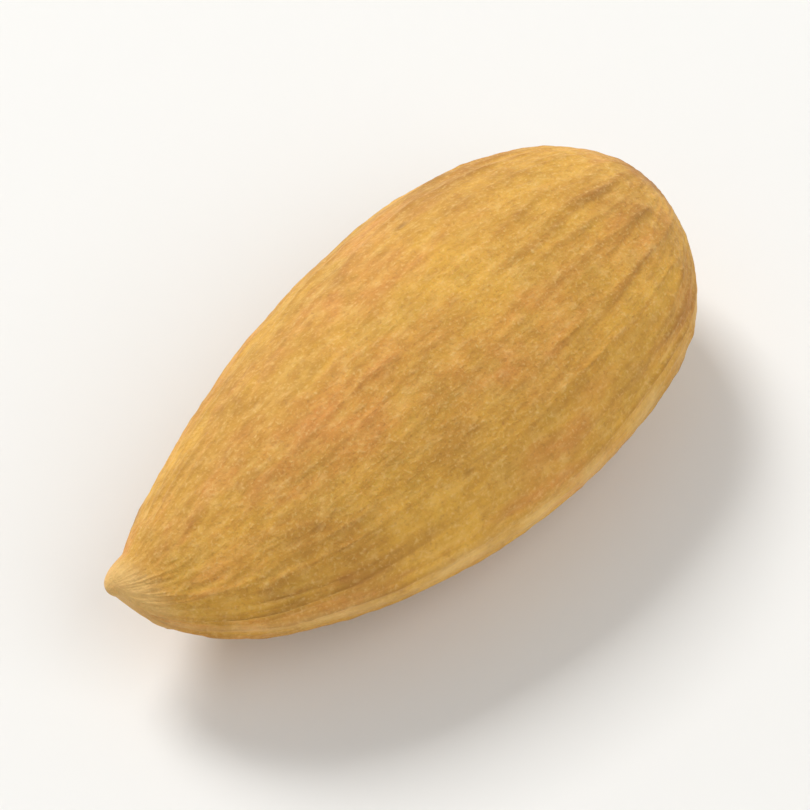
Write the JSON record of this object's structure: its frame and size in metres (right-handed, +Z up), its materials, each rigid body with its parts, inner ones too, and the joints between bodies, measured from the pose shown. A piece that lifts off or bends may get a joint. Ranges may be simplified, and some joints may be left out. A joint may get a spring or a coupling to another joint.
{
  "type": "almond",
  "caption": "Shelled almond kernel in its brown skin: a flattened teardrop with a small nib at the sharp tip, lying on one broad side.",
  "frame": {"origin": "middle of the bounding box's bottom, on the flat spot that the kernel rests on", "axes": "+X from the blunt end to the sharp tip, +Z up through the broad faces, so that the straighter margin is at -Y and the fuller one at +Y"},
  "size_m": [0.025, 0.0128, 0.008],
  "materials": {
    "skin": "dry, papery brown seed skin, matt, with fine lengthwise furrows"
  },
  "bodies": {
    "root": {"almond": "skin"}
  },
  "joints": []
}
